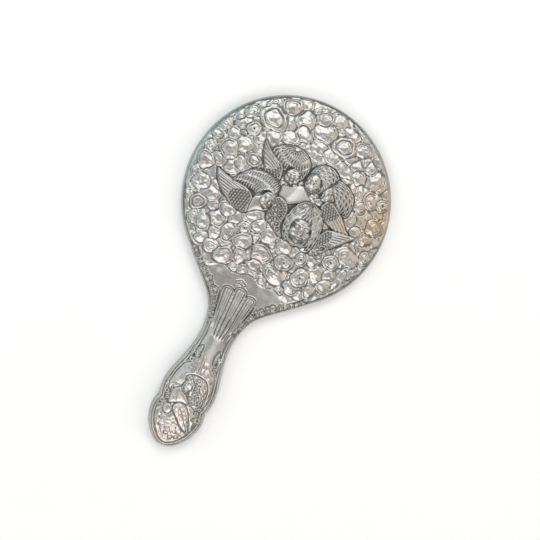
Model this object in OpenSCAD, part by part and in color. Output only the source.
// Dressing-table hand mirror: two stamped silver half-shells soldered together
// along an edge seam, with a bevelled glass held by a sprung bezel on the front.
// Frame: the mirror lies glass side down on the bezel, its back up (+Z), the
// round head towards +Y and the handle towards -Y. Origin at the centre of the
// bounding box, on the plane that the bezel rests on. Millimetres.

/* [Head] */
// Outside diameter of the round head
head_d = 150; // [146:1:154]
// Height of the edge roll above the seam, on the back
rim_h = 4.5; // [4.2:0.1:5]
// Width of the edge roll
rim_w = 4.5; // [4:0.1:5]
// Rise of the plain back above the edge roll
head_crown = 3; // [2.6:0.1:3.6]
// Height of the seam above the resting plane, at the head
seam_z = 5; // [4.8:0.1:5.4]

/* [Handle] */
// Distance from the centre of the head to the tip of the handle
handle_reach = 196; // [190:1:202]
// Width of the handle at its waist
waist_w = 24.8; // [22:0.2:28]
// Width of the handle at its bulb
bulb_w = 39.8; // [36:0.2:44]
// Rise of the seam from the head to the handle
seam_rise = 1.5; // [1.2:0.1:1.8]
// Crown of the handle's back above its edge roll
handle_crown = 3.6; // [3:0.1:4.2]
// Crown of the handle's front below its edge roll
front_crown = 2.6; // [2:0.1:2.6]

/* [Sheet and relief] */
// Thickness of the stamped silver sheet
sheet = 0.6; // [0.5:0.05:0.7]
// Height factor of the raised figures and wings
relief_k = 1; // [0:0.1:1.3]
// Height of the three reeded flutes at the neck
flute_h = 0.9; // [0:0.1:1.2]
// Thickness of the solder line between the two shells
solder_t = 0.1; // [0.06:0.02:0.2]

/* [Glass and bezel] */
// Diameter of the mirror glass
glass_d = 133.6; // [132:0.2:134]
// Thickness of the mirror glass
glass_t = 2.5; // [2.3:0.1:2.5]
// Width of the polished bevel round the glass
bevel_w = 8; // [5:0.5:10]
// Depth of the bevel at the edge of the glass
bevel_depth = 1.2; // [1:0.1:1.4]
// Thickness of the card packing behind the glass
packing_t = 1; // [0.8:0.1:1]

/* [Core] */
// Thickness of the wooden board behind the glass
board_t = 3; // [2.6:0.1:3]
// Width of the steel tang
tang_w = 12; // [10:0.5:13]
// Thickness of the steel tang
tang_t = 1.2; // [1:0.1:1.4]
// Radius of the rivets' shanks
rivet_r = 1.25; // [1:0.05:1.4]

/* [Hidden] */
$fn = 96;

R = head_d / 2;
L = handle_reach;
yc = (L - R) / 2;                 // centre of the head in the frame
open_r = R - 6;                   // opening in the front shell
glass_r = glass_d / 2;
glass_z = 1;                      // outer face of the glass
silver_t = 0.1;                   // reflecting film and its paint
back_z = glass_z + glass_t;       // back face of the glass
pack_z = back_z + silver_t;
board_z = pack_z + packing_t;
top_z = board_z + board_t;        // back face of the board
tang_z = top_z - tang_t;
tang_s0 = 22;                     // tang, from the head's centre
tang_s1 = L - 18;
rivets = [30, 45, 60];            // rivet places along the tang

// ---- outline: half width at a distance s from the head's centre, + to the tip
kh = (L - 1.44 * R) / 88;
kb = bulb_w / 39.8;
kw = waist_w / 24.8;
km = (kb + kw) / 2;
function hs(q) = 1.44 * R + kh * (q - 108);
ST = [[0.75 * R, 0.6614 * R], [0.83 * R, 0.58 * R], [0.91 * R, 0.495 * R],
      [0.99 * R, 0.405 * R], [1.07 * R, 0.32 * R], [1.15 * R, 0.25 * R],
      [1.23 * R, 0.208 * R], [1.31 * R, 0.183 * R],
      [hs(108), 12.4 * kw], [hs(116), 12.8 * kw], [hs(124), 14 * km],
      [hs(132), 15.9 * kb], [hs(140), 18.1 * kb], [hs(148), 19.7 * kb],
      [hs(154), 19.9 * kb], [hs(159), 19.1 * kb], [hs(162.5), 18.2 * kb],
      [hs(166), 19.3 * kb], [hs(171), 19.8 * kb], [hs(176), 19 * kb],
      [hs(180), 17.6 * kb], [hs(184), 15.9 * kb]];
ns = len(ST) - 1;
end_c = 15.9 * kb / sqrt(L - hs(184));
function sl(i) = i == 0 ? -ST[0][0] / ST[0][1]
    : i == ns ? -end_c / (2 * sqrt(L - ST[ns][0]))
    : (ST[i + 1][1] - ST[i - 1][1]) / (ST[i + 1][0] - ST[i - 1][0]);
function seg(s, i = 0) = (i >= ns - 1 || s < ST[i + 1][0]) ? i : seg(s, i + 1);
function herm(s, i) =
    let (h = ST[i + 1][0] - ST[i][0], t = (s - ST[i][0]) / h)
    ST[i][1] * (1 + 2 * t) * (1 - t) * (1 - t) + sl(i) * h * t * (1 - t) * (1 - t)
    + ST[i + 1][1] * t * t * (3 - 2 * t) + sl(i + 1) * h * t * t * (t - 1);
function hw(s) = s < ST[0][0] ? sqrt(max(0, R * R - s * s))
    : s > ST[ns][0] ? end_c * sqrt(max(0, L - s))
    : herm(s, seg(s));
function dhw(s) = s < ST[0][0] ? -s / hw(s)
    : s > ST[ns][0] ? -end_c / (2 * sqrt(L - s))
    : (hw(s + 0.01) - hw(s - 0.01)) / 0.02;

// ---- heights
function sm(t) = t <= 0 ? 0 : t >= 1 ? 1 : t * t * (3 - 2 * t);
function seam(s) = seam_z + seam_rise * sm((s - 60) / 40);
// distance in from the outline
function inset(x, s) = max(0, s < ST[0][0] ? R - sqrt(x * x + s * s)
    : s > ST[ns][0] ? (end_c * end_c * (L - s) - x * x)
        / sqrt(pow(end_c, 4) + 4 * x * x)
    : (hw(s) - abs(x)) / sqrt(1 + dhw(s) * dhw(s)));
function roll(d, a) = d >= a ? 1 : sqrt(max(0, 1 - pow(1 - d / a, 2)));
function tipfall(s) = s > hs(172) ? sqrt(max(0, 1 - pow((s - hs(172)) / (L - hs(172)), 2))) : 1;
// a rounded mound: [x, s, half length, half width, turn, height]
function mound(x, s, m) =
    let (c = cos(m[4]), n = sin(m[4]), u = ((x - m[0]) * c + (s - m[1]) * n) / m[2],
         v = (-(x - m[0]) * n + (s - m[1]) * c) / m[3], q = u * u + v * v)
    q >= 1 ? 0 : m[5] * (1 - q * q);
FIGURES = [[-8, -26, 13, 11, 0, 3.2], [12, -23, 11, 12, 0, 3.4],
           [30, -20, 14, 12, 0, 3], [-25, -2, 17, 11, 0, 3.2],
           [16, 10, 13, 17, 0, 4],
           [-24, -20, 14, 7, 35, 1.8], [-39, 10, 18, 9, 20, 2],
           [-4, 10, 7, 11, 0, 2], [33, -6, 13, 8, 35, 2], [41, 9, 14, 9, -20, 2]];
function relief(x, s) = relief_k * max([for (m = FIGURES) mound(x, s, m)]);
// three flutes that fan out of the waist into the head
function flute(x, s, c, top) =
    let (g = (s - 70) / 42, xc = c * (1 - 0.45 * g), h = 4.6 * (1 - 0.45 * g),
         u = (x - xc) / h, a = sm((s - top) / 4) * (1 - sm((s - 100) / 14)))
    abs(u) >= 1 ? 0 : flute_h * a * sqrt(1 - u * u);
function flutes(x, s) = s < 66 || s > 116 ? 0
    : max(flute(x, s, 0, 68), flute(x, s, -9, 71), flute(x, s, 9, 71));
// outer face of the back shell
function zback(x, s) =
    let (k = sm((s - 45) / 50), d = inset(x, s),
         a = rim_w + (3.4 - rim_w) * k, h = rim_h + (3 - rim_h) * k,
         w = max(hw(s), 0.5),
         ch = head_crown * max(0, 1 - (x * x + s * s) / (R * R)),
         cn = handle_crown * max(0, 1 - x * x / (w * w)) * tipfall(s))
    seam(s) + h * roll(d, a) + (1 - k) * ch + k * cn + relief(x, s) + flutes(x, s);
// plain back, without figures or flutes
function zplain(r) = seam_z + rim_h + head_crown * max(0, 1 - r * r / (R * R));
// outer face of the front shell
function zfront(x, s) =
    let (k = sm((s - 60) / 45), d = inset(x, s),
         a = rim_w + (3.4 - rim_w) * k, h = (seam_z - 0.8) * (1 - k) + 2.8 * k,
         w = max(hw(s), 0.5),
         cn = front_crown * max(0, 1 - x * x / (w * w)) * tipfall(s))
    seam(s) - h * roll(d, a) - k * cn;

// ---- stations down the mirror, from the top of the head to the tip
SEC = concat(
    [for (k = [0:6]) -R + 0.04 + 9 * pow(k / 6, 2)],
    [for (s = [-R + 13 : 4 : hs(184) - 1]) s],
    [for (k = [0:6]) L - 0.04 - (L - hs(184)) * pow((6 - k) / 6, 2)]);
nr = len(SEC) - 1;
FR = [0, 0.07, 0.14, 0.21, 0.28, 0.36, 0.44, 0.52, 0.61, 0.7, 0.79, 0.87, 0.94, 0.98, 1];
T = concat([for (i = [len(FR) - 1 : -1 : 1]) -FR[i]], FR);
nc = len(T) - 1;
function unit(v) = v / norm(v);
// outward direction of the outline at (x, s), in the plane of the seam
function outward(x, s) = s < ST[0][0] ? unit([x, -s, 0])
    : s > ST[ns][0] ? unit([2 * x, -end_c * end_c, 0])
    : unit([x < 0 ? -1 : 1, dhw(s), 0]);

// ---- back shell: a grid of points on the outer face and one a sheet inside it
function isedge(i, j) = i == 0 || i == nc || j == 0 || j == nr;
function bpos(i, j) = let (s = SEC[j], x = T[i] * hw(s))
    [x, yc - s, isedge(i, j) ? seam(s) + solder_t / 2 : zback(x, s)];
function bnorm(i, j) = let (s = SEC[j], x = T[i] * hw(s), e = 0.15)
    isedge(i, j) ? outward(x, s)
    : unit([-(zback(x + e, s) - zback(x - e, s)) / (2 * e),
            (zback(x, s + e) - zback(x, s - e)) / (2 * e), 1]);
module back_stamping() {
    n = (nc + 1) * (nr + 1);
    outer = [for (j = [0:nr]) for (i = [0:nc]) bpos(i, j)];
    inner = [for (j = [0:nr]) for (i = [0:nc]) bpos(i, j) - sheet * bnorm(i, j)];
    function id(i, j) = j * (nc + 1) + i;
    loop = concat([for (i = [0:nc - 1]) id(i, 0)], [for (j = [0:nr - 1]) id(nc, j)],
                  [for (i = [nc:-1:1]) id(i, nr)], [for (j = [nr:-1:1]) id(0, j)]);
    m = len(loop);
    color([0.80, 0.79, 0.77])
    polyhedron(points = concat(outer, inner), faces = concat(
        [for (j = [0:nr - 1]) for (i = [0:nc - 1]) each
            [[id(i, j), id(i + 1, j + 1), id(i + 1, j)],
             [id(i, j), id(i, j + 1), id(i + 1, j + 1)]]],
        [for (j = [0:nr - 1]) for (i = [0:nc - 1]) each
            [[n + id(i, j), n + id(i + 1, j), n + id(i + 1, j + 1)],
             [n + id(i, j), n + id(i + 1, j + 1), n + id(i, j + 1)]]],
        [for (k = [0:m - 1]) let (a = loop[k], b = loop[(k + 1) % m]) each
            [[a, b, n + a], [b, n + b, n + a]]]), convexity = 6);
}

// ---- front shell: columns run from the outline to the round opening, or to
// ---- the middle line of the handle
kcirc = len([for (s = SEC) if (s < 1.15 * R) s]);      // last station on the opening
function target(k) = let (s = SEC[k])
    s < ST[0][0] ? [open_r * hw(s) / R, open_r * s / R]
    : k <= kcirc ? let (p0 = asin(0.75), f = (s - ST[0][0]) / (SEC[kcirc] - ST[0][0]),
                        p = p0 + (90 - p0) * f)
        [k == kcirc ? 0 : open_r * cos(p), open_r * sin(p)]
    : [0, open_r + (s - SEC[kcirc]) / (L - SEC[kcirc]) * (L - 1.5 - open_r)];
DU = [0, 0.5, 1.5, 3, 4.5];
nu = 7;
function fxs(k, u) = let (p = [hw(SEC[k]), SEC[k]], q = target(k), g = norm(q - p),
        d = u <= 4 ? min(DU[u], g * (0.1 + 0.15 * u) * (u == 0 ? 0 : 1))
            : min(4.5, g * 0.7) + (g - min(4.5, g * 0.7)) * (u - 4) / (nu - 4))
    u == nu ? q : p + (q - p) * d / g;
function fpos(k, u) = let (c = fxs(k, u))
    [c[0], yc - c[1], u == 0 ? seam(c[1]) - solder_t / 2 : zfront(c[0], c[1])];
function fnorm(k, u) = let (c = fxs(k, u), e = 0.15, x = c[0], s = c[1])
    u == 0 ? outward(x, s)
    : u == nu && k <= kcirc ? [0, 0, -1]
    : unit([(zfront(x + e, s) - zfront(x - e, s)) / (2 * e),
            -(zfront(x, s + e) - zfront(x, s - e)) / (2 * e), -1]);
module front_stamping() {
    half_o = [for (k = [0:nr]) for (u = [0:nu]) fpos(k, u)];
    half_i = [for (k = [0:nr]) for (u = [0:nu]) fpos(k, u) - sheet * fnorm(k, u)];
    function flip(v) = [for (j = [nr:-1:0]) for (u = [0:nu])
        let (p = v[j * (nu + 1) + u]) [-p[0], p[1], p[2]]];
    outer = concat(half_o, flip(half_o));
    inner = concat(half_i, flip(half_i));
    n = len(outer);
    ms = 2 * (nr + 1);
    pts = concat(outer, inner);
    function id(m, u) = (m % ms) * (nu + 1) + u;
    function stn(m) = let (q = m % ms) q <= nr ? q : ms - 1 - q;
    function far(t) = pts[t[0]] != pts[t[1]] && pts[t[1]] != pts[t[2]] && pts[t[0]] != pts[t[2]];
    tri = concat(
        [for (m = [0:ms - 1]) for (u = [0:nu - 1]) each
            [[id(m, u), id(m, u + 1), id(m + 1, u + 1)],
             [id(m, u), id(m + 1, u + 1), id(m + 1, u)]]],
        [for (m = [0:ms - 1]) for (u = [0:nu - 1]) each
            [[n + id(m, u), n + id(m + 1, u + 1), n + id(m, u + 1)],
             [n + id(m, u), n + id(m + 1, u), n + id(m + 1, u + 1)]]],
        [for (m = [0:ms - 1]) let (a = id(m, 0), b = id(m + 1, 0)) each
            [[a, b, n + a], [b, n + b, n + a]]],
        [for (m = [0:ms - 1]) if (stn(m) <= kcirc && stn(m + 1) <= kcirc)
            let (a = id(m, nu), b = id(m + 1, nu)) each
            [[a, n + a, b], [b, n + a, n + b]]]);
    color([0.82, 0.81, 0.79])
    polyhedron(points = pts, faces = [for (t = tri) if (far(t)) t], convexity = 6);
}

// ---- solder line that joins the shells along the outline
module seam_solder() {
    right = [for (s = SEC) [hw(s), s]];
    ring = concat(right, [for (j = [nr:-1:0]) [-right[j][0], right[j][1]]]);
    m = len(ring);
    function lv(p, side, z) = let (o = outward(p[0], p[1]))
        [p[0] - side * o[0], yc - p[1] - side * o[1], seam(p[1]) + z];
    pts = concat([for (p = ring) lv(p, 0, solder_t / 2)], [for (p = ring) lv(p, sheet, solder_t / 2)],
                 [for (p = ring) lv(p, sheet, -solder_t / 2)], [for (p = ring) lv(p, 0, -solder_t / 2)]);
    color([0.62, 0.60, 0.56])
    polyhedron(points = pts, faces = [for (l = [0:3]) for (k = [0:m - 1])
        let (a = l * m + k, b = l * m + (k + 1) % m,
             c = ((l + 1) % 4) * m + (k + 1) % m, d = ((l + 1) % 4) * m + k) each
        [[a, b, c], [a, c, d]]], convexity = 4);
}

// ---- collar soldered inside the opening: the bezel snaps into it
module seat_collar() color([0.72, 0.70, 0.66]) translate([0, yc, 0])
    rotate_extrude($fn = 180) polygon([
        [open_r - 0.65, 1.6], [open_r - 0.05, 1.6], [open_r - 0.05, tang_z - 0.1],
        [open_r - 1.1, tang_z - 0.1], [open_r - 1.1, tang_z - 0.7], [open_r - 0.65, tang_z - 0.7]]);

// ---- sprung bezel: rests on z = 0, laps the front shell and the glass
module glass_bezel() color([0.86, 0.85, 0.83]) translate([0, yc, 0])
    rotate_extrude($fn = 180) polygon([
        [open_r - 6.2, 1.5], [open_r - 5.9, 0.8], [open_r - 4.9, 0.2], [open_r - 3.6, 0],
        [open_r - 1.4, 0], [open_r, 0.25], [open_r + 1, 0.7], [open_r + 0.9, 0.78],
        [open_r - 0.1, 0.78], [open_r - 0.7, 0.9], [open_r - 0.7, 3.6], [open_r - 1.2, 3.6],
        [open_r - 1.2, 0.6], [open_r - 3.6, 0.5], [open_r - 4.7, 0.75], [open_r - 5.4, 1.1],
        [open_r - 5.7, 1.55]]);

// ---- bevelled plate glass
module mirror_glass() color([0.75, 0.82, 0.86]) translate([0, yc, 0])
    rotate_extrude($fn = 180) polygon([
        [0, glass_z], [glass_r - bevel_w, glass_z], [glass_r, glass_z + bevel_depth],
        [glass_r, back_z], [0, back_z]]);

// ---- silvered film and its protective paint on the back of the glass
module glass_silvering() color([0.55, 0.30, 0.24]) translate([0, yc, back_z])
    cylinder(r = glass_r - 0.5, h = silver_t, $fn = 180);

// ---- card packing between the glass and the board
module glass_packing() color([0.66, 0.55, 0.40]) translate([0, yc, pack_z])
    cylinder(r = glass_r, h = packing_t, $fn = 180);

// ---- place of each rivet, centred on the tang
module at_rivets() for (s = rivets) translate([0, yc - s, 0]) children();
// flush countersunk rivet, or its hole when grown by g
module rivet(g) {
    translate([0, 0, board_z - (g > 0 ? 1 : 0)])
        cylinder(r = rivet_r + g, h = board_t + (g > 0 ? 2 : 0), $fn = 32);
    translate([0, 0, board_z - g]) cylinder(r1 = rivet_r + 1 + g, r2 = rivet_r + g, h = 0.8, $fn = 32);
    translate([0, 0, top_z - 0.8 + g]) cylinder(r1 = rivet_r + g, r2 = rivet_r + 1 + g, h = 0.8, $fn = 32);
}

// ---- wooden board that backs the glass, grooved for the tang
module core_board() color([0.70, 0.52, 0.34]) difference() {
    translate([0, yc, board_z]) cylinder(r = glass_r, h = board_t, $fn = 180);
    translate([-tang_w / 2 - 0.05, yc - R, tang_z - 0.02])
        cube([tang_w + 0.1, R - tang_s0 + 0.05, tang_t + 1]);
    at_rivets() rivet(0.03);
}

// ---- steel tang: from the board down the middle of the handle
module handle_tang() color([0.42, 0.43, 0.45]) difference() {
    union() {
        translate([-tang_w / 2, yc - tang_s1, tang_z]) cube([tang_w, tang_s1 - tang_s0, tang_t]);
        translate([0, yc - tang_s1, tang_z]) cylinder(r = tang_w / 2, h = tang_t, $fn = 48);
    }
    at_rivets() rivet(0.03);
}

// ---- flush rivets through the tang and the board
module tang_rivets() color([0.66, 0.60, 0.42]) at_rivets() rivet(0);

// ---- pitch bedding between the board and the domed back
module head_filling() color([0.16, 0.12, 0.10]) translate([0, yc, 0])
    rotate_extrude($fn = 180) polygon(concat(
        [[0, top_z + 0.03], [glass_r - 0.6, top_z + 0.03]],
        [for (k = [0:12]) let (r = (glass_r - 0.6) * (1 - k / 12)) [r, zplain(r) - sheet - 0.15]]));

// ---- pitch that fills the handle round the tang
FS = concat([open_r + 1.6], [for (s = [74 : 4 : hs(184)]) s], [hs(187), hs(190), hs(192)]);
module handle_filling() {
    nk = 8;
    function half(s) = hw(s) - sheet - 2.2;
    function at(s, t, up) = let (x = t * half(s))
        [x, yc - s, up ? zback(x, s) - flutes(x, s) - sheet - 0.35 : zfront(x, s) + sheet + 0.35];
    rows = [for (s = FS) concat([for (k = [0:nk]) at(s, -1 + 2 * k / nk, true)],
                                [for (k = [nk:-1:0]) at(s, -1 + 2 * k / nk, false)])];
    m = 2 * nk + 2;
    q = len(FS);
    color([0.18, 0.14, 0.11]) difference() {
        polyhedron(points = [for (r = rows) each r], faces = concat(
            [for (j = [0:q - 2]) for (k = [0:m - 1])
                let (a = j * m + k, b = j * m + (k + 1) % m) each
                [[a, b, b + m], [a, b + m, a + m]]],
            [for (k = [0:nk - 1]) each let (a = k, b = k + 1, c = m - 2 - k, d = m - 1 - k)
                [[a, c, b], [a, d, c]]],
            [for (k = [0:nk - 1]) each let (o = (q - 1) * m, a = o + k, b = o + k + 1,
                    c = o + m - 2 - k, d = o + m - 1 - k)
                [[a, b, c], [a, c, d]]]), convexity = 4);
        translate([-tang_w / 2 - 0.1, yc - tang_s1, tang_z - 0.1])
            cube([tang_w + 0.2, tang_s1 - tang_s0, tang_t + 0.2]);
        translate([0, yc - tang_s1, tang_z - 0.1])
            cylinder(r = tang_w / 2 + 0.1, h = tang_t + 0.2, $fn = 48);
    }
}

back_stamping();
front_stamping();
seam_solder();
seat_collar();
glass_bezel();
mirror_glass();
glass_silvering();
glass_packing();
core_board();
handle_tang();
tang_rivets();
head_filling();
handle_filling();
